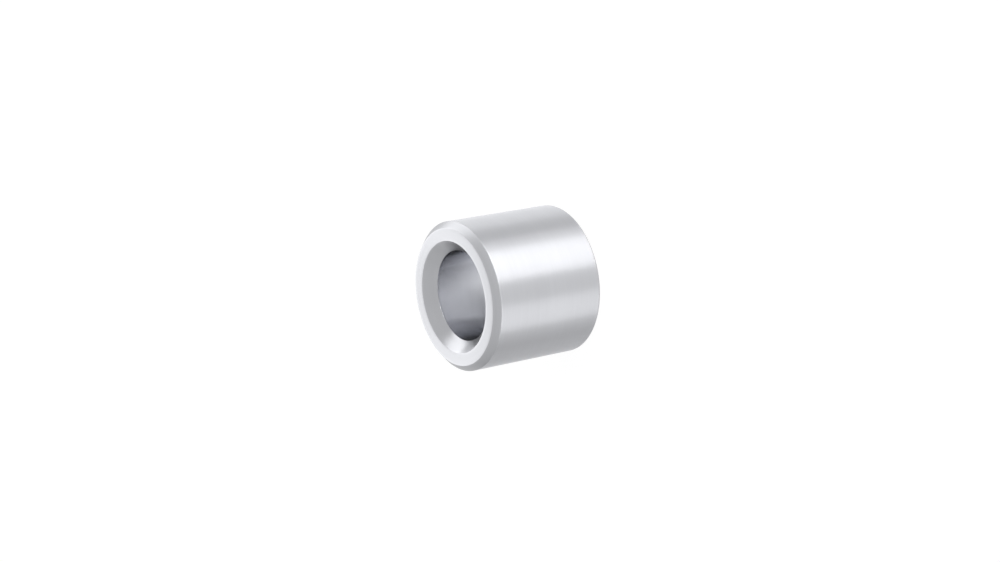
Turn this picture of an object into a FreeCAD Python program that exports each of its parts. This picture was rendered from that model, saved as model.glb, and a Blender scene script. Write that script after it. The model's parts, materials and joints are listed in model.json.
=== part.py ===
# Sensor bushing: a plain turned sleeve that is welded into a wall or a tube and carries a sensor.
# It is one piece of stainless steel bar, faced, bored right through, countersunk at the front
# for the sensor to enter, and chamfered round the front outer edge for the weld.
#
# Frame: the origin is the centre of the rear face, on which the bushing stands, and +Z runs
# along the turning axis towards the countersunk front face. Lengths are in millimetres.

import FreeCAD, Part
import math
import os

# Bore, right through. It is the core size of an M16 x 1.5 sensor thread, left plain.
BORE_DIAMETER = 14.5

# Wall round the bore, which makes the outside 24 mm across, and the overall length
WALL_THICKNESS = 4.75
LENGTH = 20.0

# Countersink that leads into the bore from the front face
COUNTERSINK_WIDTH = 1.75
COUNTERSINK_ANGLE = 45.0

# Weld chamfer round the front outer edge
WELD_CHAMFER_WIDTH = 1.0
WELD_CHAMFER_ANGLE = 45.0

# Deburring chamfer where the bore leaves the rear face
REAR_DEBURR = 0.3

# Radii to which the turned edges are broken
FRONT_EDGE_RADIUS = 0.1
BORE_EDGE_RADIUS = 0.1
REAR_EDGE_RADIUS = 0.2


def slope_depth(width, angle):
    """Axial depth of a conical cut of this radial width, whose side makes this angle with the axis."""
    return width / math.tan(math.radians(angle))


def corner_arc(before, corner, after, radius):
    """The arc that rounds one corner of the section, tangent to its two sides."""
    towards_before = (before - corner).normalize()
    towards_after = (after - corner).normalize()
    half_angle = towards_before.getAngle(towards_after) / 2
    setback = radius / math.tan(half_angle)
    inwards = (towards_before + towards_after).normalize()
    centre = corner + inwards * (radius / math.sin(half_angle))
    start = corner + towards_before * setback
    middle = centre - inwards * radius
    end = corner + towards_after * setback
    return Part.Arc(start, middle, end)


def rounded_section(corners):
    """A closed face in the XZ plane through (radius, height, rounding) corners, each rounded."""
    points = [FreeCAD.Vector(radius, 0, height) for radius, height, rounding in corners]
    arcs = []
    for index, (radius, height, rounding) in enumerate(corners):
        before = points[index - 1]
        after = points[(index + 1) % len(points)]
        arcs.append(corner_arc(before, points[index], after, rounding))
    edges = []
    for arc, next_arc in zip(arcs, arcs[1:] + arcs[:1]):
        edges.append(arc.toShape())
        edges.append(Part.LineSegment(arc.EndPoint, next_arc.StartPoint).toShape())
    return Part.Face(Part.Wire(edges))


def make_bushing():
    """The half section of the wall, turned once round the axis."""
    bore_radius = BORE_DIAMETER / 2
    outer_radius = bore_radius + WALL_THICKNESS
    mouth_radius = bore_radius + COUNTERSINK_WIDTH
    countersink_foot = LENGTH - slope_depth(COUNTERSINK_WIDTH, COUNTERSINK_ANGLE)
    front_land_radius = outer_radius - WELD_CHAMFER_WIDTH
    chamfer_foot = LENGTH - slope_depth(WELD_CHAMFER_WIDTH, WELD_CHAMFER_ANGLE)
    section = rounded_section([
        (bore_radius + REAR_DEBURR, 0, BORE_EDGE_RADIUS),
        (outer_radius, 0, REAR_EDGE_RADIUS),
        (outer_radius, chamfer_foot, FRONT_EDGE_RADIUS),
        (front_land_radius, LENGTH, FRONT_EDGE_RADIUS),
        (mouth_radius, LENGTH, FRONT_EDGE_RADIUS),
        (bore_radius, countersink_foot, BORE_EDGE_RADIUS),
        (bore_radius, REAR_DEBURR, BORE_EDGE_RADIUS),
    ])
    axis_point = FreeCAD.Vector(0, 0, 0)
    axis_direction = FreeCAD.Vector(0, 0, 1)
    return section.revolve(axis_point, axis_direction, 360)


os.makedirs("parts", exist_ok=True)
bushing = make_bushing()
bushing.exportStep("parts/bushing.step")
print(f"bushing: {bushing.ShapeType}, valid {bushing.isValid()}, {bushing.Volume:.1f} cubic mm")
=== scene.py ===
"""Looks of the sensor bushing: its turned steel sleeve, a plain studio and the photograph's camera."""

import json
import math
from collections import namedtuple

import bmesh
import bpy
from mathutils import Matrix, Vector


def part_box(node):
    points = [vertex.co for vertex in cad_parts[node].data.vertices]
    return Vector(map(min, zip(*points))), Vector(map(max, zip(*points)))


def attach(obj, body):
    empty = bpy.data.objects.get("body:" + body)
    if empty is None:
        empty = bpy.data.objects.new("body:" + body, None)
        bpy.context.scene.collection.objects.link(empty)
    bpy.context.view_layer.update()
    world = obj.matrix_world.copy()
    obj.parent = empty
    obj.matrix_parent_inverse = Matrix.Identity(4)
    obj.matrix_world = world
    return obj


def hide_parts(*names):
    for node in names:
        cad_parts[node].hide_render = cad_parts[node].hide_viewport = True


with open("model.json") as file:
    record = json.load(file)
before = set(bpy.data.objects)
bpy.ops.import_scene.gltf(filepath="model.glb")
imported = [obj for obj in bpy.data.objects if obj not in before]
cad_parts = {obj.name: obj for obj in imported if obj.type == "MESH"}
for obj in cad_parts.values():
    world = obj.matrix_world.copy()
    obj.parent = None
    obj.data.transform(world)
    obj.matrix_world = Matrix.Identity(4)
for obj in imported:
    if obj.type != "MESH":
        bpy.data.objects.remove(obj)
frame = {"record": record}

bl_info = {
    "name": "Sensor bushing",
    "version": (1, 0, 0),
    "blender": (4, 5, 0),
    "location": "View3D > Sidebar > Bushing",
    "description": "Models and dresses a turned sensor bushing and its studio",
    "category": "Object",
}

NODE = "bushing"
MM = 0.001

LOW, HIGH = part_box(NODE)
MOUNTS = {mount["name"]: mount for mount in frame["record"]["mounts"]}
BORE_RADIUS = MOUNTS["bore"]["dims"]["r_mm"] * MM
OUTER_RADIUS = MOUNTS["outer_wall"]["dims"]["r_mm"] * MM

TURN_STEPS = 256
LONGEST_RUN = 0.8 * MM
EDGE_SEGMENTS = 4
REAR_EDGE_SEGMENTS = 6
WELD_DISTANCE = 1e-7


class BushingSizes(bpy.types.PropertyGroup):
    """Sizes of the sleeve, with the frame's own as defaults."""

    outer_radius: bpy.props.FloatProperty(
        name="Outer radius", description="Radius of the outer wall",
        default=OUTER_RADIUS, min=0, unit="LENGTH", precision=5)
    bore_radius: bpy.props.FloatProperty(
        name="Bore radius", description="Radius of the through bore",
        default=BORE_RADIUS, min=0, unit="LENGTH", precision=5)
    length: bpy.props.FloatProperty(
        name="Length", description="Length from the rear face to the front face",
        default=HIGH.z - LOW.z, min=0, unit="LENGTH", precision=5)
    weld_chamfer: bpy.props.FloatProperty(
        name="Weld chamfer", description="Width of the chamfer round the front outer edge",
        default=1.0 * MM, min=0, unit="LENGTH", precision=5)
    countersink: bpy.props.FloatProperty(
        name="Countersink", description="Radial width of the countersink at the front of the bore",
        default=1.75 * MM, min=0, unit="LENGTH", precision=5)
    rear_deburr: bpy.props.FloatProperty(
        name="Rear deburr", description="Width of the chamfer where the bore leaves the rear face",
        default=0.3 * MM, min=0, unit="LENGTH", precision=5)
    edge_radius: bpy.props.FloatProperty(
        name="Edge radius", description="Rounding of the chamfered edges",
        default=0.1 * MM, min=0, unit="LENGTH", precision=5)
    rear_edge_radius: bpy.props.FloatProperty(
        name="Rear edge radius", description="Rounding of the rear outer edge",
        default=0.2 * MM, min=0, unit="LENGTH", precision=5)


class BushingFinish(bpy.types.PropertyGroup):
    """Colour and finish of the steel."""

    steel: bpy.props.FloatVectorProperty(
        name="Steel", description="Colour that the clean steel reflects",
        default=(0.49, 0.495, 0.516), min=0, max=1, size=3, subtype="COLOR")
    # The lightening beside the edges is a painted highlight; the streaks are the steel's own tone.
    unevenness: bpy.props.FloatProperty(
        name="Unevenness",
        description="Share by which streaks and rubbed edges lighten or darken the steel",
        default=0.06, min=0, max=1, subtype="FACTOR")
    mark_depth: bpy.props.FloatProperty(
        name="Mark depth", description="Depth of the tool's marks",
        default=0.0008 * MM, min=0, unit="LENGTH", precision=7)


class BushingStudio(bpy.types.PropertyGroup):
    """Levels of the studio, where 1 is white."""

    surround: bpy.props.FloatProperty(
        name="Surround", description="Brightness of the room as the floor receives it",
        default=0.45, min=0, subtype="FACTOR")
    lamps: bpy.props.FloatProperty(
        name="Lamps", description="Brightness of all the lamps together",
        default=1.0, min=0, subtype="FACTOR")
    floor_glow: bpy.props.FloatProperty(
        name="Floor glow", description="Share of the floor that is plain white whatever falls on it",
        default=0.85, min=0, max=1, subtype="FACTOR")


def deselect_everything():
    """Leaves edit mode and deselects every object."""
    if bpy.context.object and bpy.context.object.mode != "OBJECT":
        bpy.ops.object.mode_set(mode="OBJECT")
    bpy.ops.object.select_all(action="DESELECT")


def select_corners(piece, places, reach=1e-6):
    """In edit mode, selects the vertices of a section that lie at these (radius, height) places."""
    mesh = bmesh.from_edit_mesh(piece.data)
    for vertex in mesh.verts:
        here = Vector((vertex.co.x, vertex.co.z))
        vertex.select_set(any((here - Vector(place)).length < reach for place in places))
    mesh.select_flush_mode()
    bmesh.update_edit_mesh(piece.data)


def round_corners(piece, places, setback, segments):
    """Cuts each of these corners back along both its sides: flat with one segment, else round."""
    select_corners(piece, places)
    bpy.ops.mesh.bevel(offset=setback, segments=segments, affect="VERTICES", clamp_overlap=True)


def divide_long_runs(piece, longest):
    """Halves the section's edges until none is longer than this, for turned faces that are near square."""
    while True:
        mesh = bmesh.from_edit_mesh(piece.data)
        too_long = [edge for edge in mesh.edges if edge.calc_length() > longest]
        if not too_long:
            return
        bpy.ops.mesh.select_all(action="DESELECT")
        for edge in too_long:
            edge.select_set(True)
        bmesh.update_edit_mesh(piece.data)
        bpy.ops.mesh.subdivide(number_cuts=1)


def turn_sleeve(sizes):
    """The sleeve's half section, shaped from a plane and spun once round the axis."""
    inner, outer, length = sizes.bore_radius, sizes.outer_radius, sizes.length
    bpy.ops.mesh.primitive_plane_add(
        size=1, location=((inner + outer) / 2, 0, length / 2), rotation=(math.pi / 2, 0, 0))
    sleeve = bpy.context.object
    sleeve.name = sleeve.data.name = "turned_sleeve"
    sleeve.scale = (outer - inner, length, 1)
    bpy.ops.object.transform_apply(location=True, rotation=True, scale=True)
    bpy.ops.object.mode_set(mode="EDIT")
    bpy.ops.mesh.select_mode(type="VERT")
    round_corners(sleeve, [(outer, length)], sizes.weld_chamfer, 1)
    round_corners(sleeve, [(inner, length)], sizes.countersink, 1)
    round_corners(sleeve, [(inner, 0)], sizes.rear_deburr, 1)
    round_corners(sleeve, [(outer, 0)], sizes.rear_edge_radius, REAR_EDGE_SEGMENTS)
    chamfered = [
        (outer, length - sizes.weld_chamfer),
        (outer - sizes.weld_chamfer, length),
        (inner + sizes.countersink, length),
        (inner, length - sizes.countersink),
        (inner, sizes.rear_deburr),
        (inner + sizes.rear_deburr, 0),
    ]
    # The section turns by 45 degrees at each of these.
    setback = sizes.edge_radius * math.tan(math.radians(45) / 2)
    round_corners(sleeve, chamfered, setback, EDGE_SEGMENTS)
    bpy.ops.mesh.select_all(action="SELECT")
    bpy.ops.mesh.delete(type="ONLY_FACE")
    divide_long_runs(sleeve, LONGEST_RUN)
    bpy.ops.mesh.select_all(action="SELECT")
    bpy.ops.mesh.spin(steps=TURN_STEPS, angle=2 * math.pi, center=(0, 0, 0), axis=(0, 0, 1))
    bpy.ops.mesh.select_all(action="SELECT")
    bpy.ops.mesh.remove_doubles(threshold=WELD_DISTANCE)
    bpy.ops.mesh.normals_make_consistent(inside=False)
    bpy.ops.object.mode_set(mode="OBJECT")
    bpy.ops.object.shade_smooth()
    weigh = sleeve.modifiers.new("weigh_normals", "WEIGHTED_NORMAL")
    weigh.weight = 100
    bpy.ops.object.modifier_apply(modifier=weigh.name)
    return sleeve


# A surface that one tool cut: the faces it holds, by their radius and slope (the upward part of their
# normal), the radial and axial shares of the way across its marks, where its two edges lie along that
# way, its brightness, which is painted light that makes the one steel lighter in the bore and darker on
# the faces and cones, and the rest of its finish.
Cut = namedtuple("Cut", "name holds radial axial edges brightness roughness anisotropy feed")

WALL_SLOPE = 0.1
FACE_SLOPE = 0.95


def cuts(sizes):
    """The sleeve's surfaces, each as its tool left it, with painted light in its tone: lighter in the bore,
    darker on the faces, chamfer and countersink.
    """
    inner, outer, length = sizes.bore_radius, sizes.outer_radius, sizes.length
    middle = (inner + outer) / 2
    # The sixth number of each surface, its brightness, is painted light and not a difference in the steel.
    return (
        Cut("turned_outside",
            lambda radius, slope: radius > middle and abs(slope) < WALL_SLOPE,
            0, 1, (0, length - sizes.weld_chamfer), 1.05, 0.45, 0.95, 0.12 * MM),
        Cut("front_face",
            lambda radius, slope: slope > FACE_SLOPE,
            1, 0, (inner + sizes.countersink, outer - sizes.weld_chamfer), 0.905, 0.31, 0.4, 0.1 * MM),
        Cut("rear_face",
            lambda radius, slope: slope < -FACE_SLOPE,
            1, 0, (inner + sizes.rear_deburr, outer), 0.905, 0.31, 0.4, 0.14 * MM),
        Cut("weld_chamfer",
            lambda radius, slope: radius > middle and WALL_SLOPE <= abs(slope) <= FACE_SLOPE,
            0, 1, (length - sizes.weld_chamfer, length), 0.8, 0.4, 0.1, 0.08 * MM),
        Cut("countersink",
            lambda radius, slope: radius <= middle and WALL_SLOPE <= abs(slope) <= FACE_SLOPE,
            0, 1, (length - sizes.countersink, length), 0.8, 0.31, 0.5, 0.08 * MM),
        Cut("drilled_bore",
            lambda radius, slope: radius <= middle and abs(slope) < WALL_SLOPE,
            0, 1, (sizes.rear_deburr, length - sizes.countersink), 1.45, 0.2, 0.9, 0.18 * MM),
    )


def select_cut(piece, cut):
    """In edit mode, selects the faces that this cut holds."""
    mesh = bmesh.from_edit_mesh(piece.data)
    for face in mesh.faces:
        radius = face.calc_center_median().to_2d().length
        face.select_set(cut.holds(radius, face.normal.z))
    bmesh.update_edit_mesh(piece.data)


def add_node(tree, kind, options=None, inputs=None):
    """Adds a node, sets its options, and links or sets each of its inputs."""
    node = tree.nodes.new(kind)
    for name, value in (options or {}).items():
        setattr(node, name, value)
    for name, value in (inputs or {}).items():
        if isinstance(value, bpy.types.NodeSocket):
            tree.links.new(value, node.inputs[name])
        else:
            node.inputs[name].default_value = value
    return node


def calculate(tree, operation, *values, clamp=False):
    """The result of a Math node."""
    options = {"operation": operation, "use_clamp": clamp}
    return add_node(tree, "ShaderNodeMath", options, dict(enumerate(values))).outputs[0]


def new_group(name, inputs, outputs):
    """An empty node group with these sockets, and the sockets of its two ends."""
    tree = bpy.data.node_groups.new(name, "ShaderNodeTree")
    for way, sockets in (("INPUT", inputs), ("OUTPUT", outputs)):
        for socket, kind in sockets.items():
            tree.interface.new_socket(socket, in_out=way, socket_type="NodeSocket" + kind)
    return tree, tree.nodes.new("NodeGroupInput").outputs, tree.nodes.new("NodeGroupOutput").inputs


def place_group(tree, group, inputs):
    """Puts a node group into a material with its own values."""
    return add_node(tree, "ShaderNodeGroup", {"node_tree": group}, inputs).outputs


# Noise that makes the passes differ in depth, that draws the abrasive's streaks, and that clouds them.
CHATTER = {"Scale": 0.31, "Detail": 3, "Roughness": 0.7}
STREAKS = {"Scale": 1.3, "Detail": 4, "Roughness": 0.6}
CLOUDS = {"Scale": 0.7, "Detail": 2, "Roughness": 0.5}


def lathe_position_group():
    """Where a point lies for the tool: how far across its marks, and how far round the turn."""
    tree, given, result = new_group(
        "lathe_position",
        {"Position": "Vector", "Radial Share": "Float", "Axial Share": "Float"},
        {"Across": "Float", "Turn": "Float", "Ring": "Vector"})
    place = add_node(tree, "ShaderNodeSeparateXYZ", inputs={0: given["Position"]}).outputs
    level = add_node(tree, "ShaderNodeCombineXYZ", inputs={0: place["X"], 1: place["Y"]}).outputs[0]
    radius = add_node(tree, "ShaderNodeVectorMath", {"operation": "LENGTH"}, {0: level}).outputs["Value"]
    outwards = calculate(tree, "MULTIPLY", radius, given["Radial Share"])
    across = calculate(tree, "MULTIPLY_ADD", place["Z"], given["Axial Share"], outwards)
    angle = calculate(tree, "ARCTAN2", place["Y"], place["X"])
    heading = add_node(tree, "ShaderNodeVectorMath", {"operation": "NORMALIZE"}, {0: level}).outputs[0]
    sides = add_node(tree, "ShaderNodeSeparateXYZ", inputs={0: heading}).outputs
    ring = add_node(tree, "ShaderNodeCombineXYZ", inputs={
        0: sides["X"], 1: sides["Y"], 2: calculate(tree, "DIVIDE", across, MM)}).outputs[0]
    tree.links.new(across, result["Across"])
    tree.links.new(calculate(tree, "DIVIDE", angle, 2 * math.pi), result["Turn"])
    tree.links.new(ring, result["Ring"])
    return tree


def tool_marks_group():
    """The fine spiral that the tool's feed leaves, deeper on some passes than on others."""
    tree, given, result = new_group(
        "tool_marks",
        {"Across": "Float", "Turn": "Float", "Feed": "Float"},
        {"Marks": "Float"})
    passes = calculate(tree, "DIVIDE", given["Across"], given["Feed"])
    spiral = calculate(tree, "MULTIPLY", calculate(tree, "ADD", passes, given["Turn"]), 2 * math.pi)
    chatter = add_node(tree, "ShaderNodeTexNoise", {"noise_dimensions": "1D"}, {
        "W": passes, **CHATTER}).outputs[0]
    wave = calculate(tree, "MULTIPLY", calculate(tree, "COSINE", spiral), 0.5)
    tree.links.new(calculate(tree, "MULTIPLY_ADD", wave, chatter, 0.5), result["Marks"])
    return tree


def polish_streaks_group():
    """Long faint streaks round the turn, left by the abrasive, and a soft cloudiness under them."""
    tree, given, result = new_group(
        "polish_streaks",
        {"Ring": "Vector", "Fineness": "Float"},
        {"Streaks": "Float", "Clouds": "Float"})
    stretch = add_node(tree, "ShaderNodeCombineXYZ", inputs={
        0: 1.0, 1: 1.0, 2: given["Fineness"]}).outputs[0]
    drawn = add_node(tree, "ShaderNodeVectorMath", {"operation": "MULTIPLY"}, {
        0: given["Ring"], 1: stretch}).outputs[0]
    streaks = add_node(tree, "ShaderNodeTexNoise", inputs={
        "Vector": drawn, **STREAKS}).outputs[0]
    clouds = add_node(tree, "ShaderNodeTexNoise", inputs={
        "Vector": given["Ring"], **CLOUDS}).outputs[0]
    tree.links.new(streaks, result["Streaks"])
    tree.links.new(clouds, result["Clouds"])
    return tree


def edge_glint_group():
    """Where a surface has a painted highlight beside its two edges, fading inwards."""
    tree, given, result = new_group(
        "edge_glint",
        {"Across": "Float", "Near Edge": "Float", "Far Edge": "Float", "Width": "Float"},
        {"Glint": "Float"})
    gaps = [
        calculate(tree, "ABSOLUTE", calculate(tree, "SUBTRACT", given["Across"], given[edge]))
        for edge in ("Near Edge", "Far Edge")
    ]
    depth = calculate(tree, "DIVIDE", calculate(tree, "MINIMUM", *gaps), given["Width"])
    glint = calculate(tree, "SUBTRACT", 1.0, depth, clamp=True)
    tree.links.new(calculate(tree, "POWER", glint, 2.0), result["Glint"])
    return tree


def steel_groups():
    """The effects that all the steel's surfaces share."""
    return {
        "position": lathe_position_group(),
        "marks": tool_marks_group(),
        "streaks": polish_streaks_group(),
        "glint": edge_glint_group(),
    }


# How much finer the streaks are across the marks than along them, how far in from its edges a surface has
# its painted highlight and smoother steel, and how much smoother its brightest streaks are than its
# dullest.
STREAK_FINENESS = 3.5
GLINT_WIDTH = 0.3 * MM
ROUGHNESS_SPREAD = 0.04

# The grain runs round the turn, a quarter turn from the shader's own way.
GRAIN_TURN = 0.25


def cut_steel(cut, groups, finish):
    """The steel of one cut surface: streaked, with a painted highlight at its edges, and with the tool's
    marks.
    """
    material = bpy.data.materials.new(cut.name)
    material.use_nodes = True
    tree = material.node_tree
    shader = tree.nodes["Principled BSDF"]
    here = add_node(tree, "ShaderNodeTexCoord").outputs["Object"]
    lathe = place_group(tree, groups["position"], {
        "Position": here, "Radial Share": cut.radial, "Axial Share": cut.axial})
    marks = place_group(tree, groups["marks"], {
        "Across": lathe["Across"], "Turn": lathe["Turn"], "Feed": cut.feed})["Marks"]
    polish = place_group(tree, groups["streaks"], {
        "Ring": lathe["Ring"], "Fineness": STREAK_FINENESS})
    # A painted highlight beside the surface's two edges, where the steel is also smoother.
    glint = place_group(tree, groups["glint"], {
        "Across": lathe["Across"], "Near Edge": cut.edges[0], "Far Edge": cut.edges[1],
        "Width": GLINT_WIDTH})["Glint"]
    shade = calculate(tree, "MULTIPLY_ADD", polish["Clouds"], 0.5,
                      calculate(tree, "MULTIPLY", polish["Streaks"], 0.5))
    # Random streaks and clouds, together with the painted highlight beside the edges, set where the steel
    # is lighter.
    streaks_and_glint = calculate(tree, "MULTIPLY_ADD", glint, 0.5, shade, clamp=True)
    # Painted light: each surface's brightness lightens or darkens the one steel to stand for how light
    # falls there.
    steel = Vector(finish.steel) * cut.brightness
    colour = add_node(tree, "ShaderNodeMix", {"data_type": "RGBA"}, {
        "Factor": streaks_and_glint,
        "A": (*(steel * (1 - finish.unevenness)), 1),
        "B": (*(steel * (1 + finish.unevenness)), 1),
    })
    tree.links.new(colour.outputs[2], shader.inputs["Base Color"])
    dullest = cut.roughness + ROUGHNESS_SPREAD / 2
    streaked = calculate(tree, "MULTIPLY_ADD", shade, -ROUGHNESS_SPREAD, dullest)
    glinting = calculate(tree, "MULTIPLY_ADD", glint, -ROUGHNESS_SPREAD / 2, streaked)
    tree.links.new(glinting, shader.inputs["Roughness"])
    relief = calculate(tree, "MULTIPLY_ADD", polish["Streaks"], 0.5, marks)
    bump = add_node(tree, "ShaderNodeBump", inputs={
        "Strength": 1.0, "Distance": finish.mark_depth, "Height": relief})
    tree.links.new(bump.outputs[0], shader.inputs["Normal"])
    grain = add_node(tree, "ShaderNodeTangent", {"direction_type": "RADIAL", "axis": "Z"})
    tree.links.new(grain.outputs[0], shader.inputs["Tangent"])
    shader.inputs["Metallic"].default_value = 1
    shader.inputs["Anisotropic"].default_value = cut.anisotropy
    shader.inputs["Anisotropic Rotation"].default_value = GRAIN_TURN
    return material


def dress_sleeve(sleeve, sizes, finish):
    """Gives each cut surface its own steel."""
    groups = steel_groups()
    bpy.context.view_layer.objects.active = sleeve
    for index, cut in enumerate(cuts(sizes)):
        sleeve.data.materials.append(cut_steel(cut, groups, finish))
        bpy.ops.object.mode_set(mode="EDIT")
        bpy.ops.mesh.select_mode(type="FACE")
        select_cut(sleeve, cut)
        sleeve.active_material_index = index
        bpy.ops.object.material_slot_assign()
        bpy.ops.object.mode_set(mode="OBJECT")


class BUSHING_OT_sleeve(bpy.types.Operator):
    """Turns the sleeve in place of the plain CAD one"""

    bl_idname = "bushing.sleeve"
    bl_label = "Turn the sleeve"

    def execute(self, context):
        deselect_everything()
        sizes = context.scene.bushing_sizes
        sleeve = turn_sleeve(sizes)
        dress_sleeve(sleeve, sizes, context.scene.bushing_finish)
        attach(sleeve, "root")
        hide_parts(NODE)
        return {"FINISHED"}


CAMERA_AIM = Vector((1.19, -12.0, 18.7)) * MM
CAMERA_DISTANCE = 336.2 * MM
CAMERA_ELEVATION = math.radians(33.5)
CAMERA_ROLL = math.radians(100.4)
CAMERA_LENS = 78.87
CAMERA_SENSOR = 36
CAMERA_CLIP_START = 10 * MM


def place_camera(context):
    """The photograph's view, from above the front, rolled so that the sleeve seems to lie on its side."""
    back = Vector((0, -math.cos(CAMERA_ELEVATION), math.sin(CAMERA_ELEVATION)))
    bpy.ops.object.camera_add(location=CAMERA_AIM + back * CAMERA_DISTANCE)
    camera = context.object
    camera.name = "photo_camera"
    level = (-back).to_track_quat("-Z", "Y").to_matrix().to_4x4()
    camera.rotation_euler = (level @ Matrix.Rotation(-CAMERA_ROLL, 4, "Z")).to_euler()
    camera.data.lens = CAMERA_LENS
    camera.data.sensor_width = CAMERA_SENSOR
    camera.data.clip_start = CAMERA_CLIP_START
    context.scene.camera = camera


STUDIO_RADIUS = 0.5

# A lamp or dark card: the bearing (0 is behind the sleeve, 180 in front) and height of its middle in
# degrees, as the sleeve sees it, its width and height in degrees, and for a lamp its brightness, where
# 1 is white.
Panel = namedtuple("Panel", "name bearing height wide tall strength")

LAMPS = (
    Panel("key", 148.5, 6, 45, 12, 13.3),
    Panel("key_skirt", 118.5, 6, 15, 12, 4.2),
    Panel("front_fill", 186, 6, 30, 12, 2.3),
    Panel("left_strip", 223, 6, 38, 12, 6.0),
    Panel("side", 61, 17, 44, 34, 1.55),
    Panel("back", 10, 25, 60, 26, 1.25),
)

DARK_CARDS = (
    Panel("left_card", 268, 10, 18, 20, 0),
    Panel("rear_card", 293, 7, 32, 13, 0),
)


def panel_place(panel):
    """Where a panel stands, facing the sleeve."""
    bearing, height = math.radians(panel.bearing), math.radians(panel.height)
    outwards = Vector((
        math.sin(bearing) * math.cos(height), math.cos(bearing) * math.cos(height), math.sin(height)))
    facing = outwards.to_track_quat("Z", "Y").to_euler()
    wide, tall = (
        2 * STUDIO_RADIUS * math.tan(math.radians(angle / 2)) for angle in (panel.wide, panel.tall))
    return outwards * STUDIO_RADIUS, facing, wide, tall


def hang_lamps(studio):
    """Soft lamps, which the camera doesn't see."""
    for panel in LAMPS:
        place, facing, wide, tall = panel_place(panel)
        bpy.ops.object.light_add(type="AREA", location=place, rotation=facing)
        lamp = bpy.context.object
        lamp.name = lamp.data.name = panel.name + "_lamp"
        lamp.data.shape = "RECTANGLE"
        lamp.data.size = wide
        lamp.data.size_y = tall
        lamp.data.energy = panel.strength * studio.lamps * math.pi * wide * tall
        lamp.visible_camera = False


CARD_BLACK = 0.01


def hang_dark_cards():
    """Cards that darken what the steel mirrors, and which the camera doesn't see."""
    material = bpy.data.materials.new("black_card")
    material.use_nodes = True
    shader = material.node_tree.nodes["Principled BSDF"]
    shader.inputs["Base Color"].default_value = (CARD_BLACK, CARD_BLACK, CARD_BLACK, 1)
    shader.inputs["Roughness"].default_value = 1
    for panel in DARK_CARDS:
        place, facing, wide, tall = panel_place(panel)
        bpy.ops.mesh.primitive_plane_add(size=1, location=place, rotation=facing)
        card = bpy.context.object
        card.name = panel.name
        card.scale = (wide, tall, 1)
        card.visible_camera = False
        card.data.materials.append(material)


# A painted shadow of the sleeve's rim darkens the floor inside it, in a crescent on the side of this
# bearing. The floor is clear of it up to one distance, and dark from the other, round a centre shifted
# away from the crescent. The shift and both distances are shares of the bore's radius.
SHADE_BEARING = 115
SHADE_SHIFT = 0.5
SHADE_CLEAR = 0.86
SHADE_DARK = 1.2

FLOOR_SIZE = 4
FLOOR_PALE = 0.85

# The floor's own white, just over 1 because its glow covers only part of it.
FLOOR_WHITE = 1.09


def seen_or_mirrored(tree):
    """1 for what the camera sees, straight, in a mirror or through glass, and 0 for light on things."""
    path = add_node(tree, "ShaderNodeLightPath").outputs
    mirrored = calculate(tree, "MAXIMUM", path["Is Glossy Ray"], path["Is Transmission Ray"])
    return calculate(tree, "MAXIMUM", path["Is Camera Ray"], mirrored)


def floor_glow_with_painted_shade(tree, sizes, studio):
    """How much of the studio's white each place on the floor takes: less in a painted shadow inside the
    sleeve.
    """
    place = add_node(tree, "ShaderNodeTexCoord").outputs["Object"]
    away = math.radians(SHADE_BEARING + 180)
    shift = sizes.bore_radius * SHADE_SHIFT
    centre = (shift * math.sin(away), shift * math.cos(away), 0)
    reach = add_node(tree, "ShaderNodeVectorMath", {"operation": "DISTANCE"}, {
        0: place, 1: centre}).outputs["Value"]
    # Painted shadow: the floor's glow fades across a crescent inside the sleeve.
    clear_of_painted_shade = add_node(tree, "ShaderNodeMapRange", inputs={
        "Value": reach,
        "From Min": sizes.bore_radius * SHADE_DARK,
        "From Max": sizes.bore_radius * SHADE_CLEAR,
        "To Min": 0.0,
        "To Max": 1.0}).outputs[0]
    radius = add_node(tree, "ShaderNodeVectorMath", {"operation": "LENGTH"}, {0: place}).outputs["Value"]
    outside = calculate(tree, "GREATER_THAN", radius, (sizes.bore_radius + sizes.outer_radius) / 2)
    return add_node(tree, "ShaderNodeMix", {"data_type": "FLOAT"}, {
        "Factor": outside, "A": clear_of_painted_shade, "B": studio.floor_glow}).outputs[0]


def make_floor(sizes, studio):
    """A pale floor that looks white, still takes the sleeve's shadow, and has a painted shadow inside the
    sleeve.
    """
    bpy.ops.mesh.primitive_plane_add(size=FLOOR_SIZE, location=(0, 0, 0))
    floor = bpy.context.object
    floor.name = "floor"
    material = bpy.data.materials.new("pale_floor")
    material.use_nodes = True
    tree = material.node_tree
    shader = tree.nodes["Principled BSDF"]
    shader.inputs["Base Color"].default_value = (FLOOR_PALE, FLOOR_PALE, FLOOR_PALE, 1)
    shader.inputs["Roughness"].default_value = 1
    shader.inputs["Specular IOR Level"].default_value = 0
    glow = add_node(tree, "ShaderNodeEmission", inputs={"Color": (1, 1, 1, 1), "Strength": FLOOR_WHITE})
    share = calculate(tree, "MULTIPLY", seen_or_mirrored(tree), floor_glow_with_painted_shade(tree, sizes, studio))
    mixed = add_node(tree, "ShaderNodeMixShader", inputs={
        0: share, 1: shader.outputs[0], 2: glow.outputs[0]})
    tree.links.new(mixed.outputs[0], tree.nodes["Material Output"].inputs["Surface"])
    floor.data.materials.append(material)


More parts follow.
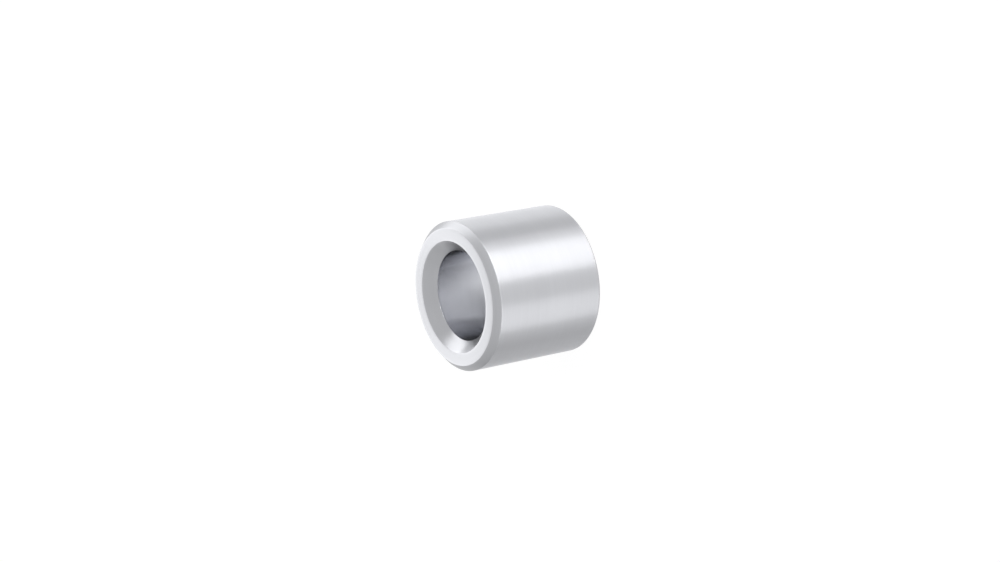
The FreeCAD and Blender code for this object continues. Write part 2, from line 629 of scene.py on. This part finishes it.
def make_world(context, studio):
    """White all round for the camera and for mirrors, and softer as a light."""
    world = bpy.data.worlds.new("studio")
    world.use_nodes = True
    tree = world.node_tree
    level = calculate(tree, "MULTIPLY_ADD", seen_or_mirrored(tree), 1 - studio.surround, studio.surround)
    room = tree.nodes["Background"]
    room.inputs["Color"].default_value = (1, 1, 1, 1)
    tree.links.new(level, room.inputs["Strength"])
    context.scene.world = world


class BUSHING_OT_stage(bpy.types.Operator):
    """Sets up the floor, the lamps and the camera"""

    bl_idname = "bushing.stage"
    bl_label = "Set up the studio"

    def execute(self, context):
        deselect_everything()
        studio = context.scene.bushing_studio
        make_floor(context.scene.bushing_sizes, studio)
        make_world(context, studio)
        hang_lamps(studio)
        hang_dark_cards()
        place_camera(context)
        context.scene.view_settings.view_transform = "Standard"
        return {"FINISHED"}


class BUSHING_PT_panel(bpy.types.Panel):
    """Lists the bushing's steps and sizes"""

    bl_label = "Sensor bushing"
    bl_idname = "BUSHING_PT_panel"
    bl_space_type = "VIEW_3D"
    bl_region_type = "UI"
    bl_category = "Bushing"

    def draw(self, context):
        column = self.layout.column()
        scene = context.scene
        for group in (scene.bushing_sizes, scene.bushing_finish, scene.bushing_studio):
            for name in type(group).__annotations__:
                column.prop(group, name)
        column.operator(BUSHING_OT_sleeve.bl_idname)
        column.operator(BUSHING_OT_stage.bl_idname)


CLASSES = (
    BushingSizes, BushingFinish, BushingStudio,
    BUSHING_OT_sleeve, BUSHING_OT_stage, BUSHING_PT_panel,
)


def register():
    for entry in CLASSES:
        bpy.utils.register_class(entry)
    bpy.types.Scene.bushing_sizes = bpy.props.PointerProperty(type=BushingSizes)
    bpy.types.Scene.bushing_finish = bpy.props.PointerProperty(type=BushingFinish)
    bpy.types.Scene.bushing_studio = bpy.props.PointerProperty(type=BushingStudio)


def unregister():
    del bpy.types.Scene.bushing_studio
    del bpy.types.Scene.bushing_finish
    del bpy.types.Scene.bushing_sizes
    for entry in reversed(CLASSES):
        bpy.utils.unregister_class(entry)


def main():
    """Builds the scene."""
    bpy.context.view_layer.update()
    register()
    bpy.ops.bushing.sleeve()
    bpy.ops.bushing.stage()


if __name__ == "__main__":
    main()
